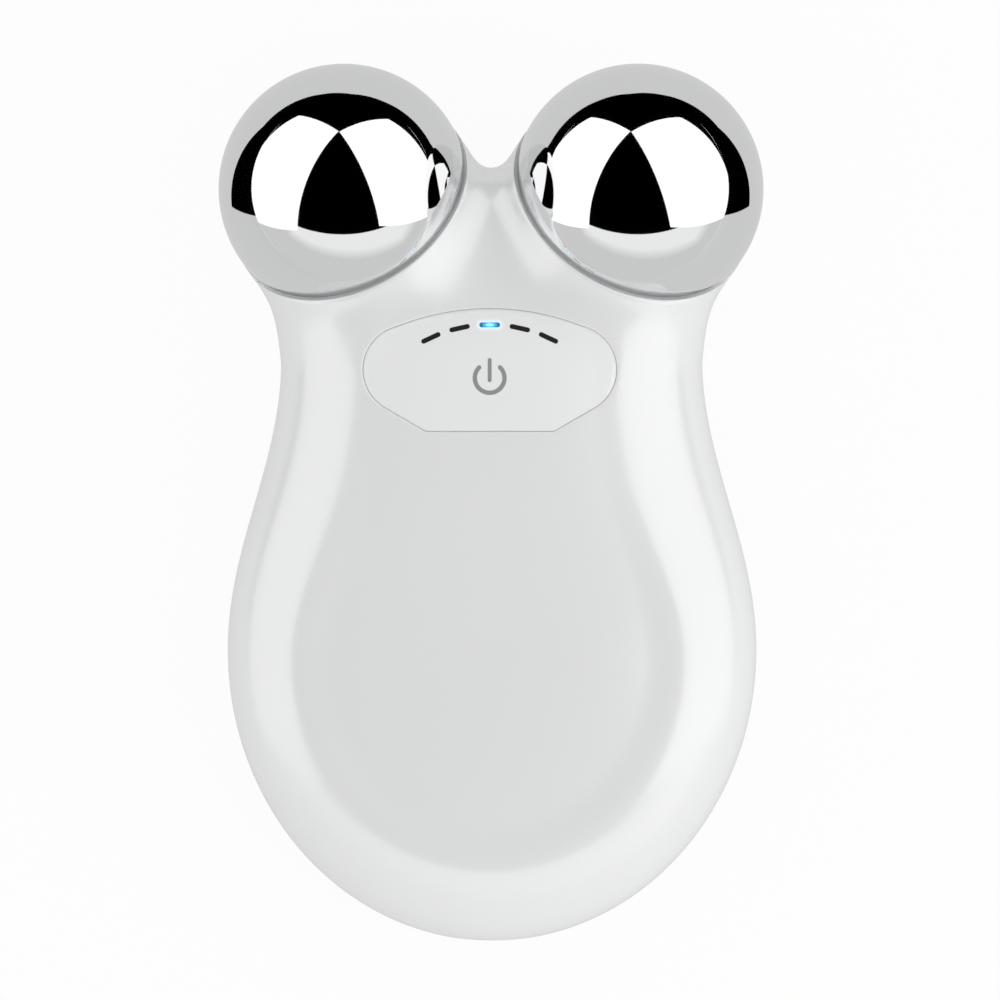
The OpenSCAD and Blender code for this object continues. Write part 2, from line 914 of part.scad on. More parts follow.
module charging_socket() {
    color("silver")
        translate([0, tail_y + 0.5, side_h])
            rotate([-90, 0, 0]) {
                difference() {
                    linear_extrude(socket_len)
                        stadium(socket_w, socket_h);
                    translate([0, 0, -1])
                        linear_extrude(socket_len - 0.5)
                            stadium(socket_w - 0.7, socket_h - 0.7);
                }
                translate([-3.3, -0.35, 0.6])
                    cube([6.6, 0.7, socket_len - 1]);
            }
}

module charging_screws() {
    color("silver")
        for (side = [-1, 1])
            translate([side * charger_screw_at.x, charger_screw_at.y, charger_z + board_t])
                mirror([0, 0, 1])
                    small_screw(board_t + 3);
}

module charging_leads() {
    wire_r = 0.5;
    color("firebrick")
        for (i = [-1, 1])
            wire([[i * 1.5, charger_y + charger_len - 3, charger_z + board_t + wire_r + 0.02],
                [i * 1.5, board_y + 2, charger_z + board_t + wire_r + 0.02],
                [i * 1.5, board_y + 4, board_top - board_t - 0.3]], wire_r);
}

front_shell();
rear_shell();
power_key();
indicator_lenses();
lit_lens();
light_baffle();
left_sphere();
right_sphere();
left_seal();
right_seal();
left_sphere_screw();
right_sphere_screw();
left_contact_lug();
right_contact_lug();
left_electrode_lead();
right_electrode_lead();
main_board();
board_screws();
indicator_leds();
switch_body();
switch_stem();
controller_chip();
boost_inductor();
capacitors();
battery_cell();
battery_pad();
battery_leads();
battery_connector();
charging_board();
charging_socket();
charging_screws();
charging_leads();
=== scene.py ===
"""Facial toning device: a palm-sized white housing with two chrome spheres and one power key.

Surfaces are worked out in millimetres, and become metres when they are made a mesh.
The device lies on its back: +Z is the front, +Y runs up to the spheres.
"""

import bpy
import numpy as np
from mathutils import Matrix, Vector
from mathutils.geometry import delaunay_2d_cdt


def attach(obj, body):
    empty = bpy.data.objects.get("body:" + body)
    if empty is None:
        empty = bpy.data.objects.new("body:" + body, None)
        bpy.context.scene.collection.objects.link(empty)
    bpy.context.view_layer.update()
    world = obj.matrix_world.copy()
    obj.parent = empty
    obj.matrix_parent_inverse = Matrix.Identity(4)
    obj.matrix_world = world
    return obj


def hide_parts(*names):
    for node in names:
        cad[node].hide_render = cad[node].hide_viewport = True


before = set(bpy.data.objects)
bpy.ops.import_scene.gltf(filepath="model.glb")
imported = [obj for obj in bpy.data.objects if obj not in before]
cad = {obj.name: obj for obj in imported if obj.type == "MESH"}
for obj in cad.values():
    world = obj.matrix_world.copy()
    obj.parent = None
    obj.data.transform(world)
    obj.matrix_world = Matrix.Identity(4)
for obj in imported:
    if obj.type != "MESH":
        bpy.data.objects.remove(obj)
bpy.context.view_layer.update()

# ---- Sizes of the housing, in millimetres ---------------------------------------------------

BODY_W, NECK_W = 66.2, 52.6
TAIL_LEN, WAIST_LEN, HEAD_LEN = 36.4, 36.9, 20.0
TAIL_Y, WIDEST_Y, NECK_Y = -55.0, -18.6, 18.3
SIDE_H, SIDE_RISE, REST_CUT = 12.0, 3.5, 0.35
BELLY_H, CROWN_H, CROWN_REACH = 27.0, 29.4, 2
HEAD_FALL, HEAD_SHARE = 3.0, 0.7
FRONT_POWER, BACK_POWER = 2.6, 2.4
DISH_DEPTH, DISH_EDGE, DISH_SOFT, DISH_TAPER, DISH_KEY = 1.4, 0.68, 0.18, 0.12, 0.25
DISH_LEAD, DISH_RUN = 3, 27
NECK_BLEND, SADDLE_BLEND = 8.0, 8.6
REST_Y = -3.0

# Spheres: radius, how far the sphere's own centre sinks along its axis, and levels along the axis
BALL_R, BALL_SINK, RIM_DROP, SPIGOT_R = 15.64, 1.7, 3.9, 14.35
LEAN, TOE = np.radians(44.5), np.radians(32.5)
AXIS = np.array([np.sin(LEAN) * np.sin(TOE), np.sin(LEAN) * np.cos(TOE), np.cos(LEAN)])
BALL_C = np.array([19.0, 40.0, 21.0])
RIM_C = BALL_C - RIM_DROP * AXIS
CUP_R = 15.65
ACROSS = np.array([np.cos(TOE), -np.sin(TOE), 0])
UP = np.cross(AXIS, ACROSS)
LEDGE_R, LEDGE_W, LEDGE_S = 15.35, 0.31, -RIM_DROP - 0.02
FLARE, FLARE_LOW = 0.3, 0.5
RIM_EDGE, RIM_SPREAD, RIM_TALL, SPIGOT_GAP = 0.12, 0.7, 1.8, 0.05
# Inside a sphere: the hollow, the spigot's wall and foot, and the screw post with its neck and bore
HOLLOW_R, HOLLOW_ENDS, FOOT_R = 13.6, (107.8, 13.61), 0.1
SPIGOT_WALL, SPIGOT_S = 1.4, -5.9
POST_R, POST_S, POST_NECK_R, POST_NECK_S, BORE_R = 3.2, -6.4, 2, -8, 1.25

# Power key: its lower and upper end, the crown arc, and the corner's and the heel's circle
KEY_Y, KEY_TOP_Y, KEY_CROWN_R, KEY_CROWN_X = 8.7, 24.0, 31, 13.05
KEY_CORNER, KEY_CORNER_R, KEY_HEEL, KEY_HEEL_R = (10.3, 16.4), 5.5, (7.7, 9.9), 1.2
KEY_GAP, KEY_EDGE, KEY_SUNK, KEY_FOOT_Z = 0.025, 0.2, 0.06, 24.6
POCKET_EDGE, POCKET_FOOT_Z = 0.3, 25.5

# Indicator bars and their lenses, the lit one's glow, and the power sign
BAR_ARC_Y, BAR_ARC_R, BAR_STEP, BAR_LEN, BAR_W = 4.65, 17.3, np.radians(12.5), 2.6, 0.62
BAR_POINTS, BAR_HOLE_Z = 48, 26.4
LENS_FOOT_Z, LENS_SUNK, LENS_EDGE, LENS_GAP = 26.2, 0.02, 0.05, 0.02
GLOW_HALF_L, GLOW_HALF_W = 1.15, 0.45
SIGN_Y, SIGN_R, SIGN_LINE, SIGN_OPEN = 15.35, 1.84, 0.54, 36
SIGN_BAR, SIGN_BAR_W = (14.84, 15.2, 17.4, 17.83), 0.48

# Parting line between the two shells, and the charging slot
SPLIT_Y, SPLIT_LOW_Y, SPLIT_LOW_Z = 12.3, 47.8, 4.2
SLOT_W, SLOT_H, SLOT_EDGE, SLOT_DEPTH = 9.3, 3.6, 0.25, 1.6
SEAM_GAP, SEAM_EDGE, SEAM_DEPTH = 0.03, 0.16, 1.7

SPINE_TAIL = np.array([0, TAIL_Y + 0.62 * TAIL_LEN, SIDE_H])
SPINE_HEAD = np.array([0, NECK_Y + 7, SIDE_H + SIDE_RISE])
SPINE = SPINE_HEAD - SPINE_TAIL

# Chart millimetres for a degree of pitch and of turn, and the steps and clearances of the grids
PITCH_MM, TURN_MM = 0.5, 0.42
GRID_STEP, GRID_CLEAR, KEY_GRID_STEP, KEY_GRID_CLEAR = 0.62, 0.26, 0.45, 0.18


def ease(t):
    """Rises from 0 to 1 along half a cosine wave."""
    return (1 - np.cos(np.pi * np.clip(t, 0, 1))) / 2


def blend(a, b, width):
    """Smooth union of two distances: the lesser one, less a parabola over a band of that width."""
    return np.minimum(a, b) - np.maximum(width - np.abs(a - b), 0) ** 2 / (4 * width)


def core(x, y, z):
    """Distance from the housing's core: superellipses over the outline's gauge, taller in front."""
    half = (BODY_W - (BODY_W - NECK_W) * ease((y - WIDEST_Y) / WAIST_LEN)) / 2
    gauge = np.where(
        y < WIDEST_Y,
        np.hypot(2 * x / BODY_W, (y - WIDEST_Y) / TAIL_LEN),
        np.where(y < NECK_Y, np.abs(x) / half, np.hypot(2 * x / NECK_W, (y - NECK_Y) / HEAD_LEN)),
    )
    gauge = np.maximum(gauge, 1e-4)
    mid = SIDE_H + SIDE_RISE * ease((y - WIDEST_Y - WAIST_LEN / 2) / ((WAIST_LEN + HEAD_LEN) / 2))
    crown = BELLY_H + (CROWN_H - BELLY_H) * ease((y - WIDEST_Y) / (WAIST_LEN + CROWN_REACH))
    crown = crown - HEAD_FALL * ease((y - NECK_Y) / (HEAD_SHARE * HEAD_LEN))
    up = ease((y - WIDEST_Y + DISH_LEAD) / DISH_RUN)
    dish = DISH_DEPTH * (1 - (1 - DISH_KEY) * up)
    dish = dish * (1 - ease((gauge - DISH_EDGE + DISH_TAPER * up) / DISH_SOFT + 0.5))
    front = z > mid
    height = np.where(front, crown - dish - mid, mid + REST_CUT)
    power = np.where(front, FRONT_POWER, BACK_POWER)
    level = np.maximum(np.abs(z - mid) / height, 1e-4)
    size = (gauge**power + level**power) ** (1 / power)
    slope_x = (gauge / size) ** (power - 1) * 2 / BODY_W
    slope_z = (level / size) ** (power - 1) / height
    return (size - 1) / np.hypot(slope_x, slope_z)


def housing(p):
    """Distance from the housing: its core and the two round cups, smoothly joined."""
    x, y, z = np.abs(p[..., 0]), p[..., 1], p[..., 2]
    near = np.sqrt((x - RIM_C[0]) ** 2 + (y - RIM_C[1]) ** 2 + (z - RIM_C[2]) ** 2) - CUP_R
    far = np.sqrt((x + RIM_C[0]) ** 2 + (y - RIM_C[1]) ** 2 + (z - RIM_C[2]) ** 2) - CUP_R
    return blend(core(x, y, z), blend(near, far, SADDLE_BLEND), NECK_BLEND)


def outward(p):
    """Unit normal of the housing's skin: the slope of the distance over two micrometres."""
    step = 0.001
    slopes = [housing(p + step * e) - housing(p - step * e) for e in np.eye(3)]
    return unit(np.stack(slopes, -1))


def unit(v):
    """Vectors brought to length 1."""
    return v / np.maximum(np.linalg.norm(v, axis=-1, keepdims=True), 1e-12)


def ray_length(start, way, far):
    """How far each ray runs inside the housing: the span from 0 to far, halved 32 times."""
    low, high = np.zeros(len(start)), np.full(len(start), far)
    for _ in range(32):
        mid = (low + high) / 2
        within = housing(start + mid[:, None] * way) < 0
        low, high = np.where(within, mid, low), np.where(within, high, mid)
    return low


def along_level(start, way):
    """Where level rays in the plane of the rest leave the housing."""
    return start + ray_length(start, way, 60.0)[:, None] * way


def along(start, way):
    """Place on the skin, or on the flat rest, that each ray from inside meets."""
    way = np.broadcast_to(way, start.shape)
    low = ray_length(start, way, 64.0)
    floor = np.where(way[:, 2] < -1e-6, -start[:, 2] / np.minimum(way[:, 2], -1e-6), 99)
    return start + np.minimum(low, floor)[:, None] * way


def skin(chart):
    """Skin place of a chart place: the first number runs along the spine and over its two ends
    as a pitch, and the second is the ray's turn round the spine."""
    span = SPINE[1]
    pitch = np.radians((np.minimum(chart[:, 0], 0) + np.maximum(chart[:, 0] - span, 0)) / PITCH_MM)
    turn = np.radians(chart[:, 1] / TURN_MM)
    start = SPINE_TAIL + np.clip(chart[:, 0] / span, 0, 1)[:, None] * SPINE
    way = np.stack([np.cos(pitch) * np.cos(turn), np.sin(pitch), np.cos(pitch) * np.sin(turn)], -1)
    return along(start, way)


def chart_of(p):
    """Chart place of a skin place: the ray that meets it, found by its angles from the spine."""
    share = np.clip((p[:, 1] - SPINE_TAIL[1]) / SPINE[1], 0, 1)
    ray = p - SPINE_TAIL - share[:, None] * SPINE
    turn = np.degrees(np.arctan2(ray[:, 2], np.where(np.abs(p[:, 0]) < 1e-7, 0, p[:, 0])))
    pitch = np.degrees(np.arcsin(np.clip(ray[:, 1] / np.linalg.norm(ray, axis=1), -1, 1)))
    ends = (p[:, 1] < SPINE_TAIL[1]) | (p[:, 1] > SPINE_HEAD[1])
    return np.stack([share * SPINE[1] + np.where(ends, pitch * PITCH_MM, 0), turn * TURN_MM], -1)


def top(plan):
    """Front skin over places of the plan."""
    start = np.column_stack([plan, np.full(len(plan), SIDE_H)])
    return along(start, np.array([0.0, 0, 1]))


def tail_end(face):
    """Skin at the tail, over places across (x) and up (z): where rays from inside come out."""
    inner_y = -42.0
    start = np.column_stack([face[:, 0], np.full(len(face), inner_y), face[:, 1]])
    return along(start, np.array([0.0, -1, 0]))


# ---- Outlines -------------------------------------------------------------------------------


def runs_of(line):
    """Length of a polyline from its first place to each of its places."""
    return np.r_[0, np.cumsum(np.linalg.norm(np.diff(line, axis=0), axis=1))]


def even(line, count):
    """The same polyline with a set number of places, evenly spaced."""
    runs = runs_of(line)
    ticks = np.linspace(0, runs[-1], count)
    return np.stack([np.interp(ticks, runs, line[:, k]) for k in range(line.shape[1])], -1)


def resample(line, step):
    """The same polyline with even steps near that length, and its two ends kept."""
    return even(line, max(int(round(runs_of(line)[-1] / step)), 4) + 1)


def key_outline(grow, step=0.22):
    """Right half of the key's outline in plan, moved outward: at each heading the farthest of the
    crown arc, the corner circle and the heel circle, plus the growth along that heading."""
    heading = np.linspace(np.pi / 2, -np.pi / 2, 4001)
    out = np.stack([np.cos(heading), np.sin(heading)], -1)
    crown = np.minimum(KEY_CROWN_R * out[:, 0], KEY_CROWN_X)
    crown = np.stack([crown, KEY_TOP_Y - KEY_CROWN_R + np.sqrt(KEY_CROWN_R**2 - crown**2)], -1)
    options = np.stack([crown, KEY_CORNER + KEY_CORNER_R * out, KEY_HEEL + KEY_HEEL_R * out])
    pick = np.argmax((options * out).sum(-1), axis=0)
    line = options[pick, np.arange(len(out))] + grow * out
    line = np.vstack([[0, line[0, 1]], line, [0, line[-1, 1]]])
    return resample(line[line[:, 0] > -1e-9], step)


def slot_outline(grow, step=0.2):
    """Right half of the charging slot: half a bar with round ends, from its top to its foot."""
    r = SLOT_H / 2 + grow
    angle = np.linspace(np.pi / 2, -np.pi / 2, 60)
    bend = np.stack([(SLOT_W - SLOT_H) / 2 + r * np.cos(angle), r * np.sin(angle)], -1)
    line = np.vstack([[0, r], bend, [0, -r]]) + [0, SIDE_H]
    return resample(line, step)


def bar_outline(i, grow):
    """Outline of one indicator bar in plan: a bar with round ends, turned along the arc."""
    angle = np.linspace(0, 2 * np.pi, BAR_POINTS, endpoint=False) + np.pi / BAR_POINTS
    r, reach = BAR_W / 2 + grow, (BAR_LEN - BAR_W) / 2
    line = np.stack([np.sign(np.cos(angle)) * reach + r * np.cos(angle), r * np.sin(angle)], -1)
    swing = BAR_STEP * i
    line = line + [0, BAR_ARC_R]
    turned = np.stack([line[:, 0] * np.cos(swing) + line[:, 1] * np.sin(swing),
                       line[:, 1] * np.cos(swing) - line[:, 0] * np.sin(swing)], -1)
    return turned + [0, BAR_ARC_Y]


def split_z(y):
    """Height of the parting surface: level, then a slope down behind the cups."""
    return np.interp(y, [SPLIT_Y, SPLIT_LOW_Y], [SIDE_H, SPLIT_LOW_Z])


def split_line():
    """Right half of the parting line on the skin: fans of rays in the parting surface."""
    angle = np.radians(np.linspace(-78, 0, 90))[:-1, None]
    fan = np.hstack([np.cos(angle), np.sin(angle), 0 * angle])
    tail = along(np.repeat([SPINE_TAIL], len(fan), 0), fan)
    y = np.linspace(SPINE_TAIL[1], SPLIT_Y, 90)
    side = along(np.stack([0 * y, y, 0 * y + SIDE_H], -1), np.array([1.0, 0, 0]))
    fall = unit(np.array([0, SPLIT_LOW_Y - SPLIT_Y, SPLIT_LOW_Z - SIDE_H]))
    hub_y = SPINE_HEAD[1]
    y = np.linspace(SPLIT_Y, hub_y, 24)[1:-1]
    neck = along(np.stack([0 * y, y, split_z(y)], -1), np.array([1.0, 0, 0]))
    angle = np.linspace(0, np.pi / 2, 150)[:, None]
    hub = np.repeat([[0, hub_y, split_z(hub_y)]], len(angle), 0)
    head = along(hub, np.cos(angle) * [1.0, 0, 0] + np.sin(angle) * fall)
    head[-1, 0] = 0
    return np.vstack([tail, side, neck, head])


# ---- Meshes ---------------------------------------------------------------------------------


def triangulate(grid, lines):
    """Triangles over the grid's places and over the lines, whose steps stay edges."""
    edges, count = [], len(grid)
    for line in lines:
        ticks = np.arange(count, count + len(line) - 1)
        edges.append(np.stack([ticks, ticks + 1], -1))
        count += len(line)
    given = np.concatenate([grid, *lines])
    found, _, faces, source, _, _ = delaunay_2d_cdt(
        given.tolist(), np.concatenate(edges).tolist(), [], 0, 1e-6, True)
    places = np.array(found, dtype=float)
    first = np.array([s[0] if s else -1 for s in source])
    places[first >= 0] = given[first[first >= 0]]
    return places, np.array(faces)


def inside(p, outline):
    """Whether places lie inside a closed outline: a level ray crosses it an odd number of times."""
    a, b = outline, np.roll(outline, -1, 0)
    rise = np.where(a[:, 1] == b[:, 1], 1, b[:, 1] - a[:, 1])
    found = []
    for part in np.array_split(p, len(p) // 4000 + 1):
        x, y = part[:, :1], part[:, 1:]
        ahead = a[:, 0] + (y - a[:, 1]) * (b[:, 0] - a[:, 0]) / rise > x
        found.append((ahead & ((a[:, 1] > y) != (b[:, 1] > y))).sum(1) % 2 == 1)
    return np.concatenate(found)


def clear_of(grid, lines, gap):
    """The grid's places that keep that gap from the lines."""
    keep = np.ones(len(grid), bool)
    for part in np.array_split(np.concatenate(lines), 60):
        far = np.abs(grid[:, None, :] - part[None, :, :])
        keep &= far.max(-1).min(1) > gap
    return grid[keep]


def lattice(low, high, step):
    """Places of a triangular lattice in a rectangle, with its left and right borders filled."""
    rows = np.linspace(low[0], high[0], int((high[0] - low[0]) / (0.87 * step)) + 1)
    cols = np.linspace(low[1], high[1], int((high[1] - low[1]) / step) + 1)
    shift = (np.arange(len(rows)) % 2) * (cols[1] - cols[0]) / 2
    inner = np.stack(np.broadcast_arrays(rows[:, None], cols[None, 1:-1] + shift[:, None]), -1)
    inner = inner.reshape(-1, 2)
    inner = inner[inner[:, 1] < high[1] - 0.25 * step]
    border = [np.stack([rows, np.full(len(rows), c)], -1) for c in (low[1], high[1])]
    return np.vstack([inner, *border])


def facing(places, faces, normals):
    """The faces, turned where they look against the given normals."""
    a, b, c = (places[faces[:, k]] for k in range(3))
    wrong = (np.cross(b - a, c - a) * normals).sum(-1) < 0
    faces = faces.copy()
    faces[wrong] = faces[wrong][:, ::-1]
    return faces


def band(rings, out, closed=False):
    """Triangles between rings of the same count, turned to look along out at the first ring."""
    rings = np.array(rings)
    rows, count = rings.shape[:2]
    k = np.arange(count if closed else count - 1)
    base = (np.arange(rows - 1) * count)[:, None]
    a, b = base + k, base + (k + 1) % count
    faces = np.concatenate([np.stack([a, b, b + count], -1).reshape(-1, 3),
                            np.stack([a, b + count, a + count], -1).reshape(-1, 3)])
    places = rings.reshape(-1, 3)
    first = faces[: len(k)]
    p, q, r = (places[first[:, j]] for j in range(3))
    if (np.cross(q - p, r - p) * np.broadcast_to(out, rings[0].shape)[first[:, 0]]).sum() < 0:
        faces = faces[:, ::-1]
    return places, faces


def mirrored(part):
    """The part and its mirror image across the middle of the device."""
    places, faces = part
    return [part, (places * [-1, 1, 1], faces[:, ::-1])]


def joined(parts):
    """One list of places and faces from several."""
    start = np.cumsum([0] + [len(p) for p, _ in parts])
    return (np.concatenate([p for p, _ in parts]),
            np.concatenate([f + s for (_, f), s in zip(parts, start)]))


def make(name, parts, sharp=35, kept=None):
    """A mesh object from parts in millimetres: doubles merged, flat triangles dropped, edges over
    the sharp angle kept crisp. kept is a list of inner triangles that stay as they are."""
    places, faces = joined(parts)
    cells = np.round(places / 2e-4).astype(np.int64)
    _, index, back = np.unique(cells, axis=0, return_index=True, return_inverse=True)
    faces = back.reshape(-1)[faces]
    places = places[index]
    faces = faces[(faces != np.roll(faces, 1, 1)).all(1)]
    smooth = np.ones(len(faces), bool)
    if kept is not None and len(kept[1]):
        faces = np.vstack([faces, kept[1] + len(places)])
        places = np.vstack([places, kept[0]])
        smooth = np.r_[smooth, np.zeros(len(kept[1]), bool)]
    mesh = bpy.data.meshes.new(name)
    mesh.from_pydata(places * 0.001, [], faces)
    mesh.polygons.foreach_set("use_smooth", smooth)
    mesh.validate()
    mesh.set_sharp_from_angle(angle=np.radians(sharp))
    thing = bpy.data.objects.new(name, mesh)
    bpy.context.scene.collection.objects.link(thing)
    return thing


def inner_part(node, depth=0.1):
    """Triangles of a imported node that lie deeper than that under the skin, in millimetres."""
    mesh = cad[node].data
    mesh.calc_loop_triangles()
    places = np.zeros(len(mesh.vertices) * 3)
    mesh.vertices.foreach_get("co", places)
    places = places.reshape(-1, 3) * 1000
    faces = np.zeros(len(mesh.loop_triangles) * 3, int)
    mesh.loop_triangles.foreach_get("vertices", faces)
    faces = faces.reshape(-1, 3)
    over_rest = places[:, 2] + (0 if node == "rear_shell" else 2 * depth)
    deep = np.minimum(-housing(places), over_rest)
    faces = faces[(deep[faces] > depth).all(1)]
    used, back = np.unique(faces, return_inverse=True)
    return places[used], back.reshape(-1, 3)


def finish_piece(thing, body, slot, material, *nodes):
    """Puts the finished piece on its body, in its finish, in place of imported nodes."""
    thing.data.materials.append(material)
    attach(thing, body)
    if nodes:
        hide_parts(*nodes)
    return thing


# ---- Materials ------------------------------------------------------------------------------


def finish(name, colour, rough, metal=0.0, **more):
    """A finish with a fine, uneven roughness and a slight cloud in its colour."""
    material = bpy.data.materials.new(name)
    material.use_nodes = True
    nodes, links = material.node_tree.nodes, material.node_tree.links
    shader = nodes["Principled BSDF"]
    shader.inputs["Metallic"].default_value = metal
    for key, value in more.get("sockets", {}).items():
        shader.inputs[key].default_value = value
    where = nodes.new("ShaderNodeTexCoord")
    noise = nodes.new("ShaderNodeTexNoise")
    noise.inputs["Scale"].default_value = more.get("scale", 90)
    noise.inputs["Detail"].default_value = 4
    links.new(where.outputs["Object"], noise.inputs["Vector"])
    tone = nodes.new("ShaderNodeMix")
    tone.data_type = "RGBA"
    cloud = more.get("cloud", 0.02)
    tone.inputs["A"].default_value = [c * (1 - cloud) for c in colour] + [1]
    tone.inputs["B"].default_value = [min(c * (1 + cloud), 1) for c in colour] + [1]
    links.new(noise.outputs["Fac"], tone.inputs["Factor"])
    links.new(tone.outputs["Result"], shader.inputs["Base Color"])
    spread = nodes.new("ShaderNodeMapRange")
    spread.inputs["To Min"].default_value = rough * 0.9
    spread.inputs["To Max"].default_value = rough * 1.1
    links.new(noise.outputs["Fac"], spread.inputs["Value"])
    links.new(spread.outputs["Result"], shader.inputs["Roughness"])
    grain = more.get("grain", 0)
    if grain:
        fine = nodes.new("ShaderNodeTexNoise")
        fine.inputs["Scale"].default_value = more.get("grain_scale", 2500)
        fine.inputs["Detail"].default_value = 3
        links.new(where.outputs["Object"], fine.inputs["Vector"])
        bump = nodes.new("ShaderNodeBump")
        bump.inputs["Strength"].default_value = grain
        bump.inputs["Distance"].default_value = 0.00005
        links.new(fine.outputs["Fac"], bump.inputs["Height"])
        links.new(bump.outputs["Normal"], shader.inputs["Normal"])
    return material


white_gloss = finish("white_gloss", (0.82, 0.825, 0.83), 0.3, cloud=0.006,
                     sockets={"Coat Weight": 1.0, "Coat Roughness": 0.22, "Coat IOR": 1.85})
white_key = finish("white_key", (0.83, 0.835, 0.84), 0.35, cloud=0.006,
                   sockets={"Coat Weight": 0.3, "Coat Roughness": 0.25})
chrome = finish("chrome", (0.86, 0.865, 0.87), 0.035, 1.0, cloud=0.004)
dark_lens = finish("dark_lens", (0.02, 0.021, 0.023), 0.16, cloud=0.2, sockets={"Coat Weight": 0.4})
sign_grey = finish("sign_grey", (0.27, 0.28, 0.275), 0.45, cloud=0.02)
white_matte = finish("white_matte", (0.8, 0.8, 0.78), 0.55, grain=0.15)
black_rubber = finish("black_rubber", (0.02, 0.02, 0.021), 0.75, cloud=0.2, grain=0.4)
screw_steel = finish("screw_steel", (0.6, 0.6, 0.61), 0.28, 1.0, cloud=0.06, grain=0.1)
contact_brass = finish("contact_brass", (0.8, 0.6, 0.28), 0.25, 1.0, cloud=0.06)
black_wire = finish("black_wire", (0.02, 0.02, 0.02), 0.42, cloud=0.15)
red_wire = finish("red_wire", (0.5, 0.03, 0.03), 0.4, cloud=0.08)
board_green = finish("board_green", (0.02, 0.17, 0.08), 0.35, cloud=0.25, scale=900, grain=0.2)
led_white = finish("led_white", (0.9, 0.87, 0.7), 0.2, sockets={"Transmission Weight": 0.2})
grey_plastic = finish("grey_plastic", (0.3, 0.3, 0.32), 0.5, grain=0.2)
black_plastic = finish("black_plastic", (0.02, 0.02, 0.021), 0.5, cloud=0.15, grain=0.2)
ferrite = finish("ferrite", (0.05, 0.05, 0.055), 0.7, cloud=0.2, grain=0.5)
capacitor_can = finish("capacitor_can", (0.55, 0.57, 0.6), 0.35, 1.0, cloud=0.06)
battery_foil = finish("battery_foil", (0.6, 0.62, 0.66), 0.32, 1.0, cloud=0.08, grain=0.5,
                      grain_scale=600)
socket_steel = finish("socket_steel", (0.55, 0.55, 0.56), 0.3, 1.0, cloud=0.05, grain=0.1)


def lit_finish():
    """The lit lens: deep blue at its ends and pale cyan in the middle, glowing."""
    material = bpy.data.materials.new("blue_lens")
    material.use_nodes = True
    nodes, links = material.node_tree.nodes, material.node_tree.links
    shader = nodes["Principled BSDF"]
    where = nodes.new("ShaderNodeTexCoord")
    place = nodes.new("ShaderNodeMapping")
    place.inputs["Location"].default_value = (0, -(BAR_ARC_Y + BAR_ARC_R) / GLOW_HALF_W, 0)
    place.inputs["Scale"].default_value = (1000 / GLOW_HALF_L, 1000 / GLOW_HALF_W, 0)
    links.new(where.outputs["Object"], place.inputs["Vector"])
    far = nodes.new("ShaderNodeVectorMath")
    far.operation = "LENGTH"
    links.new(place.outputs["Vector"], far.inputs[0])
    ramp = nodes.new("ShaderNodeValToRGB")
    ramp.color_ramp.elements[0].color = (0.42, 0.93, 1.0, 1)
    ramp.color_ramp.elements[1].color = (0.012, 0.09, 0.2, 1)
    ramp.color_ramp.elements[1].position = 0.95
    middle = ramp.color_ramp.elements.new(0.5)
    middle.color = (0.03, 0.4, 0.62, 1)
    links.new(far.outputs["Value"], ramp.inputs["Fac"])
    links.new(ramp.outputs["Color"], shader.inputs["Base Color"])
    links.new(ramp.outputs["Color"], shader.inputs["Emission Color"])
    shader.inputs["Emission Strength"].default_value = 0.9
    shader.inputs["Roughness"].default_value = 0.2
    return material


blue_lens = lit_finish()


def painted_spill(material, colour, strength, reach):
    """Painted light: a glow in the key's own finish that stands in for the light the lit lens spills on
    the key. It fades with the distance from the lens.
    """
    nodes, links = material.node_tree.nodes, material.node_tree.links
    where = nodes.new("ShaderNodeTexCoord")
    place = nodes.new("ShaderNodeMapping")
    place.inputs["Location"].default_value = (0, -(BAR_ARC_Y + BAR_ARC_R) / 1000, 0)
    place.inputs["Scale"].default_value = (1, 1, 0)
    links.new(where.outputs["Object"], place.inputs["Vector"])
    last = place.outputs["Vector"]
    for step, value in (("ABSOLUTE", None), ("SUBTRACT", (BAR_LEN - BAR_W) / 2000), ("MAXIMUM", 0)):
        node = nodes.new("ShaderNodeVectorMath")
        node.operation = step
        links.new(last, node.inputs[0])
        if value is not None:
            node.inputs[1].default_value = (value, 0, 0)
        last = node.outputs["Vector"]
    far = nodes.new("ShaderNodeVectorMath")
    far.operation = "LENGTH"
    links.new(last, far.inputs[0])
    fade = nodes.new("ShaderNodeMapRange")
    fade.interpolation_type = "SMOOTHSTEP"
    fade.inputs["From Min"].default_value = BAR_W / 2000
    fade.inputs["From Max"].default_value = reach
    fade.inputs["To Min"].default_value = strength
    fade.inputs["To Max"].default_value = 0
    links.new(far.outputs["Value"], fade.inputs["Value"])
    shader = nodes["Principled BSDF"]
    shader.inputs["Emission Color"].default_value = (*colour, 1)
    links.new(fade.outputs["Result"], shader.inputs["Emission Strength"])


# Painted glow on the key round the lit bar, in the key's own finish.
painted_spill(white_key, (0.25, 0.7, 1.0), 0.28, 0.0009)

# ---- Housing shells -------------------------------------------------------------------------


def loop_edges(line, side, wall, edge, shift=0.0):
    """Rings that round a sharp edge off. line is the edge on the skin, side points away from the
    opening, and wall points into it. The rings follow a parabola from the skin to the wall."""
    start = skin(chart_of(line + (edge + shift) * side))
    end = line + shift * side + edge * wall
    corner = line + shift * side
    return [(1 - t) ** 2 * start + 2 * t * (1 - t) * corner + t**2 * end
            for t in np.linspace(0, 1, 6)]


def tangents(line, closed=False):
    """Unit directions along a line."""
    if closed:
        return unit(np.roll(line, -1, 0) - np.roll(line, 1, 0))
    return unit(np.gradient(line, axis=0))


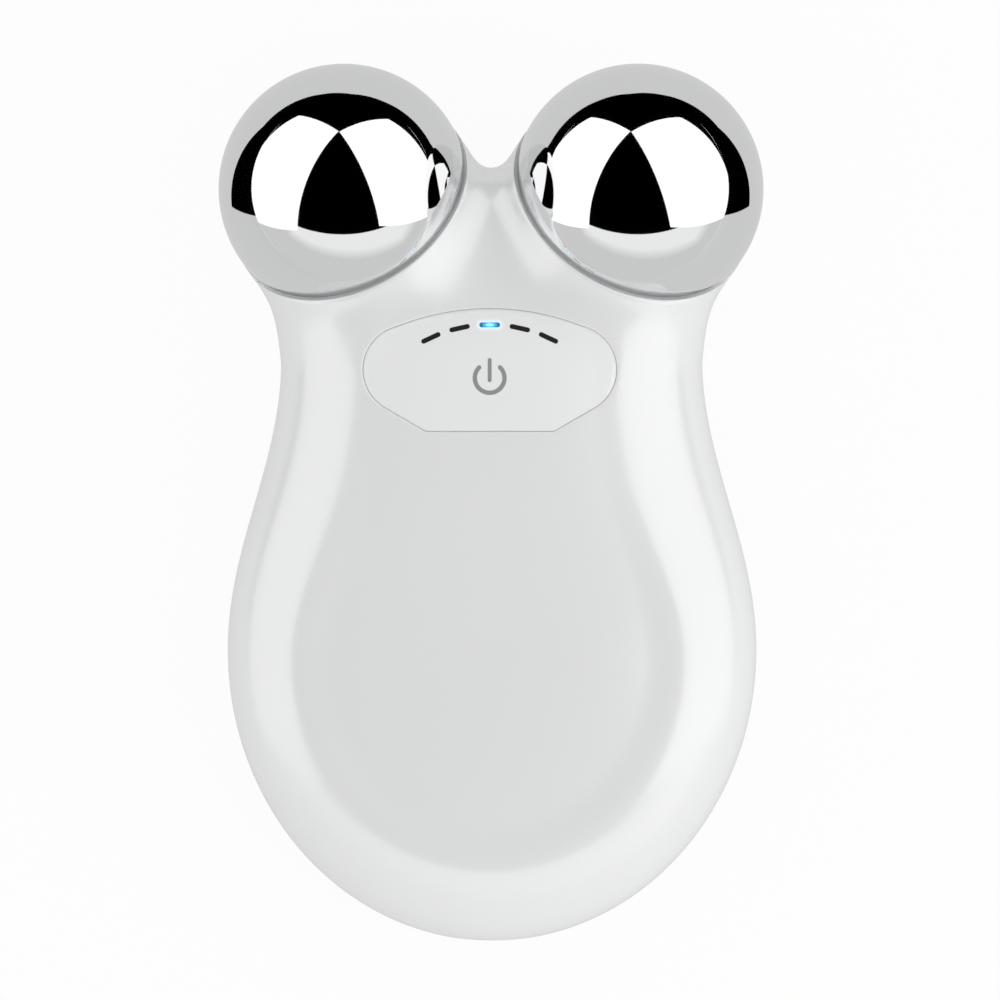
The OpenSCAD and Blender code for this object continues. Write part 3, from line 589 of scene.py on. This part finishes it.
def pocket_rings():
    """Rounded edge and wall of the key's pocket, right half, from the skin down to the shelf."""
    count = len(key_outline(0))
    rings = []
    for bend in np.radians(np.linspace(0, 90, 6)):
        plan = even(key_outline(POCKET_EDGE * (1 - np.sin(bend))), count)
        rings.append(top(plan) - [0, 0, POCKET_EDGE * (1 - np.cos(bend))])
    low = rings[-1].copy()
    low[:, 2] = POCKET_FOOT_Z
    return rings + [low]


def slot_rings():
    """Rounded edge and wall of the charging slot, right half."""
    count = len(slot_outline(0))
    rings = []
    for bend in np.radians(np.linspace(0, 90, 6)):
        face = even(slot_outline(SLOT_EDGE * (1 - np.sin(bend))), count)
        rings.append(tail_end(face) + [0, SLOT_EDGE * (1 - np.cos(bend)), 0])
    return rings + [rings[-1] + [0, SLOT_DEPTH, 0]]


def rim_rings(count=320):
    """Opening round the right sphere: from the skin over a rounded edge, down the flaring wall
    where neck and saddle rise, and in along the flat ledge under the chrome rim."""
    turn = np.linspace(0, 2 * np.pi, count, endpoint=False)[:, None]
    out = np.cos(turn) * ACROSS + np.sin(turn) * UP
    low, high = np.zeros((count, 1)), np.full((count, 1), 5.0)
    slope = FLARE + FLARE_LOW * np.maximum(-np.sin(turn), 0) ** 2

    def cut(w):
        """Place on the cut: along the ledge, then up the wall."""
        rise = np.maximum(w - LEDGE_W, 0)
        radius = LEDGE_R + np.minimum(w, LEDGE_W) + slope * rise
        return BALL_C + radius * out + (LEDGE_S + rise) * AXIS

    for _ in range(30):
        mid = (low + high) / 2
        within = (housing(cut(mid)) < 0)[:, None]
        low, high = np.where(within, mid, low), np.where(within, high, mid)
    line = cut(low)
    away = unit(np.cross(tangents(line, True), outward(line)))
    away = away * np.sign((away * (out - AXIS)).sum(-1, keepdims=True))
    edge = RIM_EDGE + RIM_SPREAD * np.clip(low - LEDGE_W, 0, RIM_TALL)
    rings = loop_edges(line, away, unit(cut(low - 0.01) - line), edge)
    foot = cut(np.minimum(low - edge, LEDGE_W))
    return rings + [foot, cut(0 * low), BALL_C + (SPIGOT_R + SPIGOT_GAP) * out + LEDGE_S * AXIS]


def shells():
    """The two shells: one chart of the skin, cut along the openings' rings and the parting line."""
    pocket, slot, rim, seam = pocket_rings(), slot_rings(), rim_rings(), split_line()
    run = tangents(seam)
    slope = unit(np.array([0, SIDE_H - SPLIT_LOW_Z, SPLIT_LOW_Y - SPLIT_Y]))
    level = np.where(seam[:, 1:2] > SPLIT_Y, slope, [0, 0, 1.0])
    up = unit(np.cross(run, outward(seam)))
    up = up * np.sign((up * level).sum(-1, keepdims=True))
    inward = unit(np.cross(run, level))
    inward = inward * -np.sign((inward * outward(seam)).sum(-1, keepdims=True))
    sides = []
    for sign in (1, -1):
        rings = loop_edges(seam, sign * up, inward, SEAM_EDGE, SEAM_GAP / 2)
        for ring in rings:
            ring[-1, 0] = 0
        sides.append(rings + [rings[-1] + SEAM_DEPTH * inward])
    front_seam, rear_seam = sides
    angle = np.linspace(-np.pi / 2, np.pi / 2, 150)[:, None]
    fan = np.hstack([np.cos(angle), np.sin(angle), 0 * angle])
    rest = along_level(np.repeat([[0, REST_Y, 0]], len(fan), 0), fan)
    # The lines are the rings' own chart places, so that skin and rings meet without a gap.
    lines = [chart_of(ring) for ring in
             (pocket[0], slot[0], np.vstack([rim[0], rim[0][:1]]), front_seam[0], rear_seam[0], rest)]
    for line in lines[:2] + lines[5:]:
        line[[0, -1], 1] = 90 * TURN_MM * np.sign(line[[0, -1], 1])
    for line in lines[3:5]:
        line[-1, 1] = -90 * TURN_MM
    low = np.array([-90 * PITCH_MM, -90 * TURN_MM])
    high = np.array([SPINE[1] + 90 * PITCH_MM, 90 * TURN_MM])
    grid = clear_of(lattice(low, high, GRID_STEP), lines, GRID_CLEAR)
    places, faces = triangulate(grid, lines)
    solid = skin(places)
    solid[np.abs(np.abs(places[:, 1]) - high[1]) < 1e-6, 0] = 0
    middle = places[faces].mean(1)
    tail = [[low[0], low[1]], [low[0], high[1]]]
    hidden = inside(middle, lines[0]) | inside(middle, np.vstack([lines[1], tail]))
    hidden |= inside(middle, lines[2])
    above = height_over_seam(middle, lines[3])
    below = height_over_seam(middle, lines[4])
    parts = {}
    for name, chosen in (("front", above > 0), ("rear", below < 0)):
        kept = faces[chosen & ~hidden]
        parts[name] = [(solid, facing(solid, kept, outward(solid[kept].mean(1))))]
    parts["front"].append(band(pocket, outward(pocket[0])))
    parts["front"].append(band(rim, outward(rim[0]), closed=True))
    parts["front"].append(band(front_seam, outward(front_seam[0])))
    parts["rear"].append(band(rear_seam, outward(rear_seam[0])))
    upper = slot[0][:, 2] >= SIDE_H
    for name, rows in (("front", upper), ("rear", ~upper)):
        rows = np.flatnonzero(rows)
        rows = np.r_[rows, rows[-1] + 1] if name == "front" else np.r_[rows[0] - 1, rows]
        parts[name].append(band([ring[rows] for ring in slot], outward(slot[0][rows])))
    return {name: [half for part in some for half in mirrored(part)]
            for name, some in parts.items()}


def height_over_seam(chart, line):
    """How far a chart place is above the parting line: in turn or, past the head, in pitch."""
    waist = chart[:, 0] < SPINE[1]
    order = np.argsort(line[:, 0])
    by_turn = chart[:, 1] - np.interp(chart[:, 0], line[order, 0], line[order, 1])
    head = line[line[:, 0] > SPINE[1] - 6]
    order = np.argsort(head[:, 1])
    by_pitch = chart[:, 0] - np.interp(chart[:, 1], head[order, 1], head[order, 0])
    over = np.where(chart[:, 1] > head[:, 1].max(), 1.0, by_pitch)
    return np.where(waist, by_turn, over)


# ---- Power key and its marks ----------------------------------------------------------------


def key_parts():
    """The key: its face over the plan, a rounded edge, the side walls, and five bar holes."""
    count = len(key_outline(0))
    rings = []
    for bend in np.radians(np.linspace(0, 90, 7)):
        plan = even(key_outline(-KEY_GAP - KEY_EDGE * np.sin(bend)), count)
        rings.append(top(plan) - [0, 0, KEY_SUNK + KEY_EDGE * (1 - np.sin(bend))])
    rings = rings[::-1]
    low = rings[-1].copy()
    low[:, 2] = KEY_FOOT_Z
    rings.append(low)
    middle_bar = bar_outline(0, 0)
    heading = np.arctan2(middle_bar[:, 0], middle_bar[:, 1] - middle_bar[:, 1].mean())
    middle_bar = middle_bar[np.argsort(heading)]
    middle_bar = middle_bar[middle_bar[:, 0] > 0]
    ends = [[0, BAR_ARC_Y + BAR_ARC_R + BAR_W / 2], [0, BAR_ARC_Y + BAR_ARC_R - BAR_W / 2]]
    middle_bar = np.vstack([ends[0], middle_bar, ends[1]])
    bars = [middle_bar, bar_outline(1, 0), bar_outline(2, 0)]
    lines = [rings[0][:, :2], middle_bar] + [np.vstack([b, b[:1]]) for b in bars[1:]]
    low, high = np.array([KEY_Y - 1, 0]), np.array([KEY_TOP_Y + 1, 16.0])
    grid = lattice(low, high, KEY_GRID_STEP)[:, ::-1]
    grid = clear_of(grid[grid[:, 0] < high[1] - 0.1], lines, KEY_GRID_CLEAR)
    grid = grid[inside(grid, rings[0][:, :2])]
    for n in range(len(bars)):
        grid = grid[~inside_bar(grid, n)]
    places, faces = triangulate(grid, lines)
    middle = places[faces].mean(1)
    gone = ~inside(middle, rings[0][:, :2])
    for n in range(len(bars)):
        gone |= inside_bar(middle, n)
    solid = top(places) - [0, 0, KEY_SUNK]
    solid[places[:, 0] < 1e-6, 0] = 0
    faces = facing(solid, faces[~gone], outward(solid[faces[~gone]].mean(1)))
    parts = [(solid, faces), band(rings, outward(rings[0]))]
    for n, b in enumerate(bars):
        walls = [top(b) - [0, 0, KEY_SUNK], np.column_stack([b, np.full(len(b), BAR_HOLE_Z)])]
        around = np.column_stack([bar_centre(n) - b, np.zeros(len(b))])
        parts.append(band(walls, around, closed=n > 0))
    return [half for part in parts for half in mirrored(part)]


def bar_centre(i):
    """Middle of an indicator bar in plan."""
    return np.array([BAR_ARC_R * np.sin(BAR_STEP * i), BAR_ARC_Y + BAR_ARC_R * np.cos(BAR_STEP * i)])


def inside_bar(p, i):
    """Whether a plan place lies inside a bar: nearer to its middle line than half its width."""
    way = np.array([np.cos(BAR_STEP * i), -np.sin(BAR_STEP * i)])
    q = p - bar_centre(i)
    run = np.clip(q @ way, -(BAR_LEN - BAR_W) / 2, (BAR_LEN - BAR_W) / 2)
    return np.linalg.norm(q - run[:, None] * way, axis=1) < BAR_W / 2


def lens_parts(i):
    """One lens: rings from its rounded edge in to its middle line, and a wall down into the key."""
    sunk = KEY_SUNK + LENS_SUNK
    rings = [np.column_stack([bar_outline(i, -LENS_GAP), np.full(BAR_POINTS, LENS_FOOT_Z)])]
    for bend in np.radians([0, 30, 60, 90]):
        plan = bar_outline(i, -LENS_GAP - LENS_EDGE * (1 - np.cos(bend)))
        rings.append(top(plan) - [0, 0, sunk + LENS_EDGE * (1 - np.sin(bend))])
    for share in (0.3, 0.6, 1.0):
        inset = LENS_GAP + LENS_EDGE + share * (BAR_W / 2 - LENS_GAP - LENS_EDGE)
        rings.append(top(bar_outline(i, -inset)) - [0, 0, sunk])
    rings.append(np.repeat([rings[-1].mean(0)], BAR_POINTS, 0))
    sides = np.column_stack([bar_outline(i, 0) - bar_centre(i), np.zeros(BAR_POINTS)])
    return band(rings, sides, closed=True)


def stroke(line, width, lift=0.012 - KEY_SUNK, across=7):
    """A painted stroke on the key's face: offsets either side of a line, with round ends."""
    runs = runs_of(line)
    end = np.minimum(runs, runs[-1] - runs) / (width / 2)
    half = width / 2 * np.sqrt(np.maximum(1 - np.maximum(1 - end, 0) ** 2, 0))
    run = unit(np.gradient(line, axis=0))
    side = np.stack([-run[:, 1], run[:, 0]], -1)
    rings = [top(line + (k * half)[:, None] * side) + [0, 0, lift]
             for k in np.linspace(-1, 1, across)]
    return band(rings, [0, 0, 1.0])


def power_sign():
    """The generic power sign: an open ring and an upright bar."""
    angle = np.radians(np.linspace(90 + SIGN_OPEN, 450 - SIGN_OPEN, 160))
    ring = np.stack([SIGN_R * np.cos(angle), SIGN_Y + SIGN_R * np.sin(angle)], -1)
    foot, low, high, head = SIGN_BAR
    y = np.concatenate([foot + SIGN_BAR_W / 2 * (1 - np.cos(np.linspace(0, np.pi / 2, 12))),
                        np.linspace(low, high, 12),
                        head - SIGN_BAR_W / 2 * (1 - np.cos(np.linspace(np.pi / 2, 0, 12)))])
    return [stroke(ring, SIGN_LINE), stroke(np.stack([0 * y, y], -1), SIGN_BAR_W)]


# ---- Spheres --------------------------------------------------------------------------------


def sphere_parts(side, count=288):
    """A hollow chrome sphere: its profile carried round the sphere's axis. From the pole the
    profile runs down the sphere to the rim, steps in to the spigot and returns inside."""
    level = BALL_SINK - RIM_DROP + FOOT_R
    polar = np.linspace(0, np.arccos(level / BALL_R), 84)
    outer = np.stack([BALL_R * np.sin(polar), BALL_R * np.cos(polar) - BALL_SINK], -1)
    bend = np.radians(np.linspace(0, 90, 6))[1:]
    rim_r = outer[-1, 0]
    foot = np.stack([rim_r - FOOT_R + FOOT_R * np.cos(bend),
                     FOOT_R - RIM_DROP - FOOT_R * np.sin(bend)], -1)
    inner = np.radians(np.linspace(*HOLLOW_ENDS, 30))
    hollow = np.stack([HOLLOW_R * np.sin(inner), HOLLOW_R * np.cos(inner)], -1)
    steps = [[SPIGOT_R, -RIM_DROP], [SPIGOT_R, SPIGOT_S], [SPIGOT_R - SPIGOT_WALL, SPIGOT_S]]
    post = [[POST_R, POST_S], [POST_NECK_R, POST_S], [POST_NECK_R, POST_NECK_S],
            [BORE_R, POST_NECK_S], [BORE_R, 0], [0, 0]]
    profile = np.vstack([outer, foot, steps, hollow, post])
    turn = np.linspace(0, 2 * np.pi, count, endpoint=False)
    out = np.cos(turn)[:, None] * ACROSS + np.sin(turn)[:, None] * UP
    rings = [BALL_C + r * out + s * AXIS for r, s in profile[1:-1]]
    places, faces = band(rings, rings[0] - BALL_C, closed=True)
    poles = []
    for ring, tip, way in ((rings[0], profile[0], 1), (rings[-1], profile[-1], 1)):
        tip = BALL_C + tip[1] * AXIS
        poles.append(band([ring, np.repeat([tip], count, 0)], way * AXIS, closed=True))
    return [(p * [side, 1, 1], f[:, ::side]) for p, f in [(places, faces), *poles]]


# ---- Pieces ---------------------------------------------------------------------------------

halves = shells()
front = make("front_shell_skin", halves["front"], 40, inner_part("front_shell"))
finish_piece(front, "housing", "white_gloss", white_gloss, "front_shell")
rear = make("rear_shell_skin", halves["rear"], 40, inner_part("rear_shell"))
finish_piece(rear, "housing", "white_gloss", white_gloss, "rear_shell")

key = make("key_cap", key_parts(), 40, inner_part("power_key"))
finish_piece(key, "key", "white_key", white_key, "power_key")
dark = make("dark_bars", [lens_parts(i) for i in (-2, -1, 1, 2)], 50)
finish_piece(dark, "key", "dark_lens", dark_lens, "indicator_lenses")
lit = make("lit_bar", [lens_parts(0)], 50)
finish_piece(lit, "key", "blue_lens", blue_lens, "lit_lens")
sign = make("power_sign", power_sign(), 60)
finish_piece(sign, "key", "dark_lens", sign_grey)

for side, name in ((-1, "left"), (1, "right")):
    ball = make(name + "_chrome_sphere", sphere_parts(side), 40)
    finish_piece(ball, "housing", "chrome", chrome, name + "_sphere")

node_finish = {
    "light_baffle": white_matte, "left_seal": black_rubber, "right_seal": black_rubber,
    "left_sphere_screw": screw_steel, "right_sphere_screw": screw_steel,
    "left_contact_lug": contact_brass, "right_contact_lug": contact_brass,
    "left_electrode_lead": black_wire, "right_electrode_lead": red_wire,
    "main_board": board_green, "board_screws": screw_steel, "indicator_leds": led_white,
    "switch_body": grey_plastic, "switch_stem": black_plastic, "controller_chip": black_plastic,
    "boost_inductor": ferrite, "capacitors": capacitor_can, "battery_cell": battery_foil,
    "battery_pad": black_rubber, "battery_leads": red_wire, "battery_connector": white_matte,
    "charging_board": board_green, "charging_socket": socket_steel,
    "charging_screws": screw_steel, "charging_leads": red_wire,
    "front_shell": white_gloss, "rear_shell": white_gloss, "power_key": white_key,
    "indicator_lenses": dark_lens, "lit_lens": blue_lens, "left_sphere": chrome, "right_sphere": chrome,
}
for node, material in node_finish.items():
    cad[node].data.materials.clear()
    cad[node].data.materials.append(material)

# ---- Floor, cards, lamps and camera ---------------------------------------------------------


def stage_card(name, places, faces, material):
    """A stage card of these faces, in metres."""
    mesh = bpy.data.meshes.new(name)
    mesh.from_pydata(places, [], faces)
    card = bpy.data.objects.new(name, mesh)
    card.data.materials.append(material)
    bpy.context.scene.collection.objects.link(card)
    return card


def level_card(name, low, high, z, material):
    """A level card between two opposite corners in plan."""
    (x0, y0), (x1, y1) = low, high
    corners = [(x0, y0, z), (x1, y0, z), (x1, y1, z), (x0, y1, z)]
    return stage_card(name, corners, [(0, 1, 2, 3)], material)


def strip_card(name, first, second, material):
    """A card of quads between two lines of the same count."""
    count = len(first)
    quads = [(i, i + 1, i + 1 + count, i + count) for i in range(count - 1)]
    return stage_card(name, [*first, *second], quads, material)


def at_height(plan, z):
    """Places of the plan at that height."""
    return [(x, y, z) for x, y in plan]


def plain(name, colour, strength=0.0):
    """A flat stage finish, glowing where a strength is given."""
    material = bpy.data.materials.new(name)
    material.use_nodes = True
    shader = material.node_tree.nodes["Principled BSDF"]
    shader.inputs["Base Color"].default_value = (*colour, 1)
    shader.inputs["Roughness"].default_value = 0.9
    shader.inputs["Emission Color"].default_value = (1, 1, 1, 1)
    shader.inputs["Emission Strength"].default_value = strength
    return material


def seen(tree):
    """1 for the rays that show the background: camera, glossy and transmission rays."""
    path = tree.nodes.new("ShaderNodeLightPath")
    last = path.outputs["Is Camera Ray"]
    for ray in ("Is Glossy Ray", "Is Transmission Ray"):
        either = tree.nodes.new("ShaderNodeMath")
        either.operation = "MAXIMUM"
        tree.links.new(last, either.inputs[0])
        tree.links.new(path.outputs[ray], either.inputs[1])
        last = either.outputs["Value"]
    return last


def hide_from(card, *rays):
    """Leaves a stage card out of these kinds of rays."""
    for ray in rays:
        setattr(card, "visible_" + ray, False)


AMBIENT, BOX_GLOW, FILL_POWER = 0.89, 1.25, 1.8
world = bpy.data.worlds.new("studio")
bpy.context.scene.world = world
world.use_nodes = True
ambient = world.node_tree.nodes["Background"]
ambient.inputs["Color"].default_value = (1, 1, 1, 1)
ambient.inputs["Strength"].default_value = AMBIENT

floor_paint = plain("floor_paint", (0.86, 0.86, 0.86))
tree = floor_paint.node_tree
white = tree.nodes.new("ShaderNodeEmission")
white.inputs["Strength"].default_value = 1.0
mixer = tree.nodes.new("ShaderNodeMixShader")
share = tree.nodes.new("ShaderNodeMath")
share.operation = "MULTIPLY"
share.inputs[1].default_value = 0.92
tree.links.new(seen(tree), share.inputs[0])
tree.links.new(share.outputs["Value"], mixer.inputs["Fac"])
tree.links.new(tree.nodes["Principled BSDF"].outputs["BSDF"], mixer.inputs[1])
tree.links.new(white.outputs["Emission"], mixer.inputs[2])
tree.links.new(mixer.outputs["Shader"], tree.nodes["Material Output"].inputs["Surface"])


def faded(name, near, far, start, end, way):
    """A glow that goes from near to far as the place along a direction goes from start to end."""
    material = bpy.data.materials.new(name)
    material.use_nodes = True
    tree = material.node_tree
    where = tree.nodes.new("ShaderNodeTexCoord")
    place = tree.nodes.new("ShaderNodeVectorMath")
    place.operation = "DOT_PRODUCT"
    place.inputs[1].default_value = way
    spread = tree.nodes.new("ShaderNodeMapRange")
    for key, value in (("From Min", start), ("From Max", end), ("To Min", near), ("To Max", far)):
        spread.inputs[key].default_value = value
    glow = tree.nodes.new("ShaderNodeEmission")
    tree.links.new(where.outputs["Object"], place.inputs[0])
    tree.links.new(place.outputs["Value"], spread.inputs["Value"])
    tree.links.new(spread.outputs["Result"], glow.inputs["Strength"])
    tree.links.new(glow.outputs["Emission"], tree.nodes["Material Output"].inputs["Surface"])
    return material


black = plain("card_black", (0.0, 0.0, 0.0))
black.node_tree.nodes["Principled BSDF"].inputs["Specular IOR Level"].default_value = 0
softbox = plain("softbox_white", (0.0, 0.0, 0.0), BOX_GLOW)
# Painted reflection of the floor in the device's shade: a grey glow seen only in glossy rays, a little
# darker to the left.
floor_shade_reflection = faded("card_grey", 0.64, 0.68, -0.3, 0.3, (1, 0, 0))
grey_wall = faded("card_grey_wall", 0.66, 0.93, 0.42, 0.68, (0.15, 0, 1))
level_card("floor", (-3, -3), (3, 3), -0.0001, floor_paint)

# Two softboxes stand either side of the spheres, each with its two pairs of corners swung round.
middle = np.array([0, 0.04, 0.021])
left_box = np.array([(-0.05, 0.80, 0.60), (-0.368, -0.336, 0.329),
                     (-0.878, -0.24, -0.134), (-0.56, 0.895, 0.136)])
for side, name, swings in ((-1, "left", (0.05, 0.05)), (1, "right", (0.2, 0.03))):
    x, y, z = (0.85 * left_box * [-side, 1, 1]).T
    swing = np.repeat(swings, 2)
    corners = (middle + np.stack([x - swing * z, y, z + swing * x], -1))[::side]
    box = stage_card(name + "_softbox", [tuple(c) for c in corners], [(0, 1, 2, 3)], softbox)
    hide_from(box, "camera", "diffuse", "shadow")

# Dark and grey cards make the room that the chrome mirrors; the grey card on the floor is a painted
# reflection of the floor in the device's shade.
far_x, far_y, side_y, top_y, top_z, wall_z = 1.2, 1.0, -0.33, -0.54, 0.64, 1.2
near_room = [(-far_x, side_y), (-far_x, -1), (far_x, -1), (far_x, side_y)]
room = [(-far_x, side_y), (-far_x, far_y), (far_x, far_y), (far_x, side_y)]
inner = [(-0.066, 0.032), (-0.104, 0.105), (-0.06, 0.21), (0, 0.27),
         (0.06, 0.21), (0.104, 0.105), (0.066, 0.032)]
outer = [room[0], (-far_x, 0.4), (-0.9, far_y), (0, far_y), (0.9, far_y), (far_x, 0.4), room[3]]
cards = [
    level_card("ceiling_card", (-far_x, top_y), (far_x, far_y), top_z, black),
    strip_card("wall_card", at_height(room, 0), at_height(room, top_z), black),
    strip_card("dark_floor_card", at_height(inner, 0.0002), at_height(outer, 0.0002), black),
    level_card("floor_shade_card", (-1, -1), (1, 0.3), 0.0001, floor_shade_reflection),
    strip_card("near_wall_card", at_height(near_room, 0), at_height(near_room, wall_z), grey_wall),
]
for card in cards:
    hide_from(card, "camera", "diffuse", "shadow", "transmission")

lamp = bpy.data.lights.new("right_fill", "AREA")
lamp.energy, lamp.size = FILL_POWER, 0.8
fill = bpy.data.objects.new("right_fill", lamp)
fill.location = (0.8, -0.3, 0.45)
fill.rotation_euler = (Vector((0, 0, 0.02)) - fill.location).to_track_quat("-Z", "Y").to_euler()
bpy.context.scene.collection.objects.link(fill)
hide_from(fill, "glossy")

# The camera stands straight above, tilted by a degree, and sees this width in metres.
LENS, SENSOR, WIDTH_SEEN = 600, 36, 0.125
camera = bpy.data.cameras.new("camera")
camera.lens = LENS
camera.sensor_width = SENSOR
camera.clip_start, camera.clip_end = 0.05, 10
view = bpy.data.objects.new("camera", camera)
bpy.context.scene.collection.objects.link(view)
tilt, reach = np.radians(1.0), WIDTH_SEEN * LENS / SENSOR
view.location = (0.00106 + reach * np.sin(tilt), 0.00019, 0.016 + reach * np.cos(tilt))
view.rotation_euler = (0, tilt, 0)
bpy.context.scene.camera = view

scene = bpy.context.scene
scene.view_settings.view_transform = "Standard"
